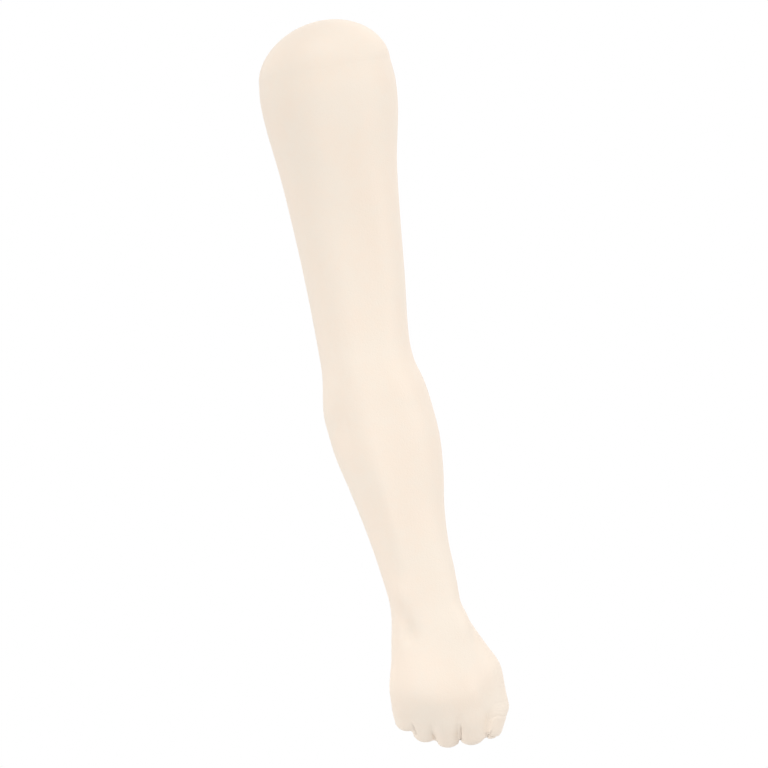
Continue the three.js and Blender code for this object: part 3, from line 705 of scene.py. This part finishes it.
def refineDetails(bm, nails, joints):
    # halves the mesh where nails, folds and clefts are finer than it
    def isFine(point):
        for start, end, radius, back in nails:
            near = (point - end).length < radius * handDetail["nailFineReach"]
            if near and (point - start).dot(back) > 0:
                return True
        if mayBeInCleft(point) and cleftDepth(point) > handDetail["cleftFineFrom"]:
            return True
        for centre, radius, along, side, outward in joints:
            near = (point - centre).length < radius * handDetail["jointFineReach"]
            if near and (point - centre).dot(outward) > handDetail["jointFineOut"] * radius:
                return True
        return False

    fine = {vert for vert in bm.verts if isFine(vert.co)}
    edges = [edge for edge in bm.edges if edge.verts[0] in fine and edge.verts[1] in fine]
    bmesh.ops.subdivide_edges(bm, edges=edges, cuts=1, use_grid_fill=True)
    bmesh.ops.triangulate(bm, faces=[face for face in bm.faces if len(face.verts) > 4])


def pressDetails(bm):
    nails, joints = detailPlaces()
    refineDetails(bm, nails, joints)
    bm.normal_update()
    nailShare = bm.verts.layers.float.new("nail")
    # fold and cleft shares: masks for the painted shade that the silicone's colour takes in folds, creases
    # and clefts
    foldShadeShare = bm.verts.layers.float.new("fold")
    cleftShadeShare = bm.verts.layers.float.new("cleft")
    moves = []
    for vert in bm.verts:
        point, lift = vert.co, 0
        for start, end, radius, back in nails:
            if (point - end).length < radius * handDetail["nailReach"]:
                rise, share = nailLift(point, start, end, radius, back)
                lift += rise
                vert[nailShare] = max(vert[nailShare], share)
        folds = 0
        for centre, radius, along, side, outward in joints:
            near = (point - centre).length < radius * handDetail["jointReach"]
            if near and (point - centre).dot(outward) > 0:
                folds += foldDepth(point, centre, radius, along, side, outward)
        inCleft = 0
        if mayBeInCleft(point):
            inCleft = cleftDepth(point) * ramp(point.z, *handDetail["cleftHeight"])
        facing = handDetail["creaseFacing"]
        if point.z < handDetail["creaseBelow"] and vert.normal.z < facing[0]:
            folds += creaseDepth(point) * ramp(vert.normal.z, *facing)
        vert[foldShadeShare] = min(folds / handDetail["fullFold"], 1)
        vert[cleftShadeShare] = min(inCleft / handDetail["fullCleft"], 1)
        moves.append((vert, vert.normal * (lift - folds - inCleft)))
    for vert, move in moves:
        vert.co += move


def handMesh():
    bm = meltedTogether(handForms(), hand["voxel"])
    print("hand melted,", len(bm.verts), "points")
    verts = list(bm.verts)
    soften(bm, verts, softening["rounds"], lambda point: 1, softening["regain"])
    soften(bm, verts, softening["backRounds"], backOfHand)
    soften(bm, verts, softening["palmRounds"], palmSide)
    pressDetails(bm)
    print("nails, folds and creases pressed in")
    bmesh.ops.bisect_plane(bm, geom=list(bm.verts) + list(bm.edges) + list(bm.faces),
                           plane_co=(hand["joinX"], 0, 0), plane_no=(1, 0, 0), clear_inner=True)
    return bm


# The skin: its outside, its mouth round the stump cap, and the cavity that the cores fill

skin = {
    "thickness": 8.0,
    "lapWall": 4.0,
    "lapLength": 14.0,
    "gap": 0.3,
    "cavityEnd": 574.0,
    "cavityPitch": 13.0,
    "seamRings": (0, 0.25, 0.8),  # past the seam, close so that it shades evenly
    "seamRunOut": 2,
    "joinReach": 16,  # round the stitching, where it is softened
    "joinRounds": 24,
    "joinFade": (5, 14),
    "outerShare": 0.86,  # of the section, past which a point is on the outside
    "domeRings": 26,
    "domeEndTurns": (0.02, 0.006),  # radians, the last rings before the seam
    "poleTurn": 1.57,  # radians, from where a ring is a point
}


def skinMesh():
    sides, seamX = arm["sides"], arm["stumpDepth"]
    lapEnd = seamX + skin["lapLength"] + skin["gap"]
    thick = skin["thickness"]
    rings = [armRing(skin["cavityEnd"], sides, thick, scale=share) for share in arm["flatEnd"]]
    cavityStations = evenSteps(skin["cavityEnd"], lapEnd, skin["cavityPitch"])
    rings += [armRing(x, sides, thick) for x in cavityStations]
    rings += [armRing(x, sides, skin["lapWall"]) for x in (lapEnd, seamX)]
    rings += [armRing(seamX + beyond, sides) for beyond in skin["seamRings"]]
    outerEnd = hand["joinX"] - hand["joinGap"]
    outerStations = evenSteps(seamX + skin["seamRunOut"], outerEnd, arm["ringPitch"])
    rings += [armRing(x, sides) for x in outerStations]
    bm = surfaceThrough(rings)
    handData = bpy.data.meshes.new("handHalf")
    handPart = handMesh()
    handPart.to_mesh(handData)
    handPart.free()
    bm.from_mesh(handData)
    bpy.data.meshes.remove(handData)
    openEdges = [edge for edge in bm.edges if edge.is_boundary]
    print(len(openEdges), "open edges to stitch")
    bmesh.ops.bridge_loops(bm, edges=openEdges)
    bmesh.ops.triangulate(bm, faces=[face for face in bm.faces if len(face.verts) > 4])
    joinX, reach = hand["joinX"], skin["joinReach"]
    nearby = [vert for vert in bm.verts if abs(vert.co.x - joinX) < reach and outside(vert.co)]
    soften(bm, nearby, skin["joinRounds"], lambda point: 1 - ramp(abs(point.x - joinX), *skin["joinFade"]))
    pressFlat(bm)
    bmesh.ops.recalc_face_normals(bm, faces=bm.faces)
    return bm


def outside(point):
    # whether a point near the stitching is on the outer surface and not on the cavity's wall
    section = sectionAt(point.x)
    across = (point.y - section["y"]) / (section["front"] if point.y > section["y"] else section["back"])
    height = (point.z - section["z"]) / section["over"]
    return math.hypot(across, height) > skin["outerShare"]


def capMesh():
    sides, seamX, thick = arm["sides"], arm["stumpDepth"], skin["thickness"]
    lapEnd, lapInset = seamX + skin["lapLength"], skin["lapWall"] + skin["gap"]

    def dome(depth, inset, turns):
        rings = []
        for turn in turns:
            scale = 0
            if turn < skin["poleTurn"]:
                scale = math.cos(turn) * (1 - arm["domeDraw"] * math.sin(turn))
            rings.append(armRing(seamX, sides, inset, scale, -depth * math.sin(turn),
                                 arm["stumpLean"] * math.sin(turn)))
        return rings

    count = skin["domeRings"]
    turns = [math.pi / 2 * step / count for step in range(count, 0, -1)]
    turns += skin["domeEndTurns"]
    rings = dome(arm["domeDepth"], 0, turns) + [armRing(seamX, sides), armRing(seamX, sides, lapInset)]
    rings += [armRing(lapEnd, sides, lapInset), armRing(lapEnd, sides, thick)]
    innerTurns = turns[:count:2][::-1]  # every second one, from the seam back to the pole
    rings += [armRing(seamX, sides, thick)] + dome(arm["domeDepth"] - thick, thick, innerTurns)
    bm = surfaceThrough(rings)
    pressFlat(bm)
    bmesh.ops.recalc_face_normals(bm, faces=bm.faces)
    return bm


# Materials

def newGroup(name, inputs, outputs):
    group = bpy.data.node_groups.new(name, "ShaderNodeTree")
    for label, kind, value in inputs:
        socket = group.interface.new_socket(label, in_out="INPUT", socket_type=kind)
        if value is not None:
            socket.default_value = value
    for label, kind in outputs:
        group.interface.new_socket(label, in_out="OUTPUT", socket_type=kind)
    return group, group.nodes.new("NodeGroupInput"), group.nodes.new("NodeGroupOutput")


def addNode(tree, kind, settings=None, **values):
    node = tree.nodes.new(kind)
    for key, value in (settings or {}).items():
        setattr(node, key, value)
    for key, value in values.items():
        node.inputs[key.replace("_", " ")].default_value = value
    return node


def mathNode(tree, operation, first, second):
    node = addNode(tree, "ShaderNodeMath", {"operation": operation})
    for socket, value in zip(node.inputs, (first, second)):
        if isinstance(value, (int, float)):
            socket.default_value = value
        else:
            tree.links.new(value, socket)
    return node.outputs["Value"]


def softMottleGroup():
    # slow clouds of tone with smaller ones in them
    group, given, result = newGroup(
        "softMottle",
        [("Vector", "NodeSocketVector", None), ("Large Scale", "NodeSocketFloat", 25.0),
         ("Small Scale", "NodeSocketFloat", 120.0), ("Small Share", "NodeSocketFloat", 0.3)],
        [("Value", "NodeSocketFloat")])
    large = addNode(group, "ShaderNodeTexNoise", Detail=2.0, Roughness=0.5)
    small = addNode(group, "ShaderNodeTexNoise", Detail=3.0, Roughness=0.55)
    for node, scale in ((large, "Large Scale"), (small, "Small Scale")):
        group.links.new(given.outputs["Vector"], node.inputs["Vector"])
        group.links.new(given.outputs[scale], node.inputs["Scale"])
    blend = addNode(group, "ShaderNodeMix", {"data_type": "FLOAT"})
    group.links.new(given.outputs["Small Share"], blend.inputs["Factor"])
    group.links.new(large.outputs["Fac"], blend.inputs["A"])
    group.links.new(small.outputs["Fac"], blend.inputs["B"])
    spread = addNode(group, "ShaderNodeMapRange", {"interpolation_type": "SMOOTHSTEP"},
                     From_Min=0.34, From_Max=0.66)
    group.links.new(blend.outputs["Result"], spread.inputs["Value"])
    group.links.new(spread.outputs["Result"], result.inputs["Value"])
    return group


def pittedGrainGroup():
    # small pits with fine lines between them: pores, foam cells or moulded grain
    group, given, result = newGroup(
        "pittedGrain",
        [("Vector", "NodeSocketVector", None), ("Pit Scale", "NodeSocketFloat", 700.0),
         ("Line Scale", "NodeSocketFloat", 260.0), ("Line Share", "NodeSocketFloat", 0.4)],
        [("Height", "NodeSocketFloat")])
    pits = addNode(group, "ShaderNodeTexVoronoi", {"feature": "SMOOTH_F1"}, Smoothness=0.6)
    lines = addNode(group, "ShaderNodeTexVoronoi", {"feature": "DISTANCE_TO_EDGE"})
    drift = addNode(group, "ShaderNodeTexNoise", Scale=60.0, Detail=2.0)
    for node, scale in ((pits, "Pit Scale"), (lines, "Line Scale")):
        group.links.new(given.outputs["Vector"], node.inputs["Vector"])
        group.links.new(given.outputs[scale], node.inputs["Scale"])
    group.links.new(given.outputs["Vector"], drift.inputs["Vector"])
    pitSteepness, lineSteepness = 2.2, 7.0
    pitHeight = mathNode(group, "MULTIPLY", pits.outputs["Distance"], pitSteepness)
    pitHeight = mathNode(group, "MINIMUM", pitHeight, 1.0)
    lineHeight = mathNode(group, "MULTIPLY", lines.outputs["Distance"], lineSteepness)
    lineHeight = mathNode(group, "MINIMUM", lineHeight, 1.0)
    share = mathNode(group, "MULTIPLY", given.outputs["Line Share"], drift.outputs["Fac"])
    total = mathNode(group, "ADD", pitHeight, mathNode(group, "MULTIPLY", lineHeight, share))
    group.links.new(total, result.inputs["Height"])
    return group


def drawnMetalGroup():
    # fine lines along Z of the given vector, as drawing or turning leaves them
    group, given, result = newGroup(
        "drawnMetal",
        [("Vector", "NodeSocketVector", None), ("Line Scale", "NodeSocketFloat", 900.0),
         ("Stretch", "NodeSocketFloat", 0.03)],
        [("Height", "NodeSocketFloat"), ("Stain", "NodeSocketFloat")])
    parts = addNode(group, "ShaderNodeSeparateXYZ")
    group.links.new(given.outputs["Vector"], parts.inputs["Vector"])
    joined = addNode(group, "ShaderNodeCombineXYZ")
    stretched = mathNode(group, "MULTIPLY", parts.outputs["X"], given.outputs["Stretch"])
    group.links.new(stretched, joined.inputs["X"])
    group.links.new(parts.outputs["Y"], joined.inputs["Y"])
    group.links.new(parts.outputs["Z"], joined.inputs["Z"])
    lines = addNode(group, "ShaderNodeTexNoise", Detail=4.0, Roughness=0.7)
    group.links.new(joined.outputs["Vector"], lines.inputs["Vector"])
    group.links.new(given.outputs["Line Scale"], lines.inputs["Scale"])
    stain = addNode(group, "ShaderNodeTexNoise", Scale=45.0, Detail=3.0)
    group.links.new(given.outputs["Vector"], stain.inputs["Vector"])
    group.links.new(lines.outputs["Fac"], result.inputs["Height"])
    group.links.new(stain.outputs["Fac"], result.inputs["Stain"])
    return group


softMottle, pittedGrain, drawnMetal = softMottleGroup(), pittedGrainGroup(), drawnMetalGroup()


def newMaterial(name):
    material = bpy.data.materials.new(name)
    material.use_nodes = True
    tree = material.node_tree
    place = addNode(tree, "ShaderNodeTexCoord")
    return material, tree, tree.nodes["Principled BSDF"], place.outputs["Object"]


def placeGroup(tree, group, vector, **values):
    node = addNode(tree, "ShaderNodeGroup", {"node_tree": group}, **values)
    tree.links.new(vector, node.inputs["Vector"])
    return node


def mixColours(tree, factor, first, second):
    mix = addNode(tree, "ShaderNodeMix", {"data_type": "RGBA"})
    tree.links.new(factor, mix.inputs["Factor"])
    # a Mix node has several sockets of each name: 6 and 7 are its two colours, 2 the mixed one
    for socket, value in ((mix.inputs[6], first), (mix.inputs[7], second)):
        if isinstance(value, tuple):
            socket.default_value = (*value, 1)
        else:
            tree.links.new(value, socket)
    return mix.outputs[2]


def spreadRoughness(tree, shader, value, low, high):
    spread = addNode(tree, "ShaderNodeMapRange", To_Min=low, To_Max=high)
    tree.links.new(value, spread.inputs["Value"])
    tree.links.new(spread.outputs["Result"], shader.inputs["Roughness"])


def bumpFrom(tree, shader, height, distance):
    bump = addNode(tree, "ShaderNodeBump", Distance=distance, Strength=1.0)
    tree.links.new(height, bump.inputs["Height"])
    tree.links.new(bump.outputs["Normal"], shader.inputs["Normal"])


siliconeLook = {
    "warm": (0.937, 0.81, 0.688),
    "pale": (0.923, 0.822, 0.71),
    "foldShade": (0.86, 0.68, 0.54),  # painted shade in finger-joint folds and palm creases
    "foldShadeStrength": 0.22,
    "between": (0.72, 0.645, 0.57),  # painted shade where two fingers press together and at the thumb's tip
    "roughness": (0.44, 0.58),
    "poreDepth": 0.00006,
    "nailGloss": 0.7,
    "ior": 1.41,
}


def siliconeMaterial():
    material, tree, shader, place = newMaterial("paleSilicone")
    mottle = placeGroup(tree, softMottle, place, Large_Scale=22.0, Small_Scale=130.0, Small_Share=0.35)
    tone = mixColours(tree, mottle.outputs["Value"], siliconeLook["warm"], siliconeLook["pale"])
    # painted shade: the colour darkens with the depth of finger-joint folds and palm creases
    fold = addNode(tree, "ShaderNodeAttribute", {"attribute_name": "fold"})
    foldShadeShare = mathNode(tree, "MULTIPLY", fold.outputs["Fac"], siliconeLook["foldShadeStrength"])
    tone = mixColours(tree, foldShadeShare, tone, siliconeLook["foldShade"])
    # painted shade in the clefts between pressed fingers
    cleft = addNode(tree, "ShaderNodeAttribute", {"attribute_name": "cleft"})
    colour = mixColours(tree, cleft.outputs["Fac"], tone, siliconeLook["between"])
    tree.links.new(colour, shader.inputs["Base Color"])
    nail = addNode(tree, "ShaderNodeAttribute", {"attribute_name": "nail"})
    gloss = mathNode(tree, "MULTIPLY", nail.outputs["Fac"], siliconeLook["nailGloss"])
    matte = mathNode(tree, "SUBTRACT", mottle.outputs["Value"], gloss)
    spreadRoughness(tree, shader, matte, *siliconeLook["roughness"])
    pores = placeGroup(tree, pittedGrain, place, Pit_Scale=620.0, Line_Scale=330.0, Line_Share=0.5)
    smoothNail = mathNode(tree, "SUBTRACT", 1.0, nail.outputs["Fac"])
    height = mathNode(tree, "MULTIPLY", pores.outputs["Height"], smoothNail)
    bumpFrom(tree, shader, height, siliconeLook["poreDepth"])
    shader.inputs["IOR"].default_value = siliconeLook["ior"]
    return material


foamLook = {
    "light": (0.86, 0.78, 0.56),
    "dark": (0.74, 0.63, 0.40),
    "roughness": (0.85, 0.98),
    "cellDepth": 0.0004,
}


def foamMaterial():
    material, tree, shader, place = newMaterial("rigidFoam")
    mottle = placeGroup(tree, softMottle, place, Large_Scale=30.0, Small_Scale=300.0, Small_Share=0.55)
    tree.links.new(mixColours(tree, mottle.outputs["Value"], foamLook["dark"], foamLook["light"]),
                   shader.inputs["Base Color"])
    spreadRoughness(tree, shader, mottle.outputs["Value"], *foamLook["roughness"])
    cells = placeGroup(tree, pittedGrain, place, Pit_Scale=420.0, Line_Scale=900.0, Line_Share=0.7)
    bumpFrom(tree, shader, cells.outputs["Height"], foamLook["cellDepth"])
    return material


metalLook = {
    "drawnAluminium": {
        "bright": (0.78, 0.79, 0.80), "dull": (0.62, 0.63, 0.65), "roughness": (0.28, 0.46),
        "lineScale": 900.0, "stretch": 0.03, "depth": 0.00002,
    },
    "turnedSteel": {
        "bright": (0.63, 0.64, 0.66), "dull": (0.46, 0.47, 0.49), "roughness": (0.2, 0.38),
        "lineScale": 1400.0, "stretch": 1.0, "depth": 0.000012,
    },
}


def metalMaterial(name):
    look = metalLook[name]
    material, tree, shader, place = newMaterial(name)
    drawn = placeGroup(tree, drawnMetal, place, Line_Scale=look["lineScale"], Stretch=look["stretch"])
    tree.links.new(mixColours(tree, drawn.outputs["Stain"], look["dull"], look["bright"]),
                   shader.inputs["Base Color"])
    spreadRoughness(tree, shader, drawn.outputs["Height"], *look["roughness"])
    bumpFrom(tree, shader, drawn.outputs["Height"], look["depth"])
    shader.inputs["Metallic"].default_value = 1
    return material


nylonLook = {
    "light": (0.045, 0.047, 0.05),
    "dark": (0.025, 0.026, 0.028),
    "roughness": (0.42, 0.62),
    "depth": 0.00005,
}


def nylonMaterial():
    material, tree, shader, place = newMaterial("mouldedNylon")
    mottle = placeGroup(tree, softMottle, place, Large_Scale=60.0, Small_Scale=500.0, Small_Share=0.5)
    tree.links.new(mixColours(tree, mottle.outputs["Value"], nylonLook["dark"], nylonLook["light"]),
                   shader.inputs["Base Color"])
    spreadRoughness(tree, shader, mottle.outputs["Value"], *nylonLook["roughness"])
    grain = placeGroup(tree, pittedGrain, place, Pit_Scale=1500.0, Line_Scale=700.0, Line_Share=0.3)
    bumpFrom(tree, shader, grain.outputs["Height"], nylonLook["depth"])
    return material


silicone = siliconeMaterial()
innerMaterials = {
    foamMaterial(): ("upper_arm_core", "forearm_core", "palm_core"),
    metalMaterial("drawnAluminium"): ("upper_arm_tube", "forearm_tube", "palm_paddle"),
    metalMaterial("turnedSteel"): ("upper_elbow_pin", "lower_elbow_pin", "paddle_pin"),
    nylonMaterial(): ("elbow_coupler",),
}
for material, names in innerMaterials.items():
    for name in names:
        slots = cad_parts[name].data.materials
        slots.clear()
        slots.append(material)
print("materials made")


# The pieces

skinBm = skinMesh()
inFrame(skinBm)
skinPiece = finishPiece("armSkin", skinBm, silicone)
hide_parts("silicone_skin")
capBm = capMesh()
inFrame(capBm)
capPiece = finishPiece("stumpDome", capBm, silicone)
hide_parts("stump_cap")
for piece in (skinPiece, capPiece):
    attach(piece, "root")

print("all pieces placed")
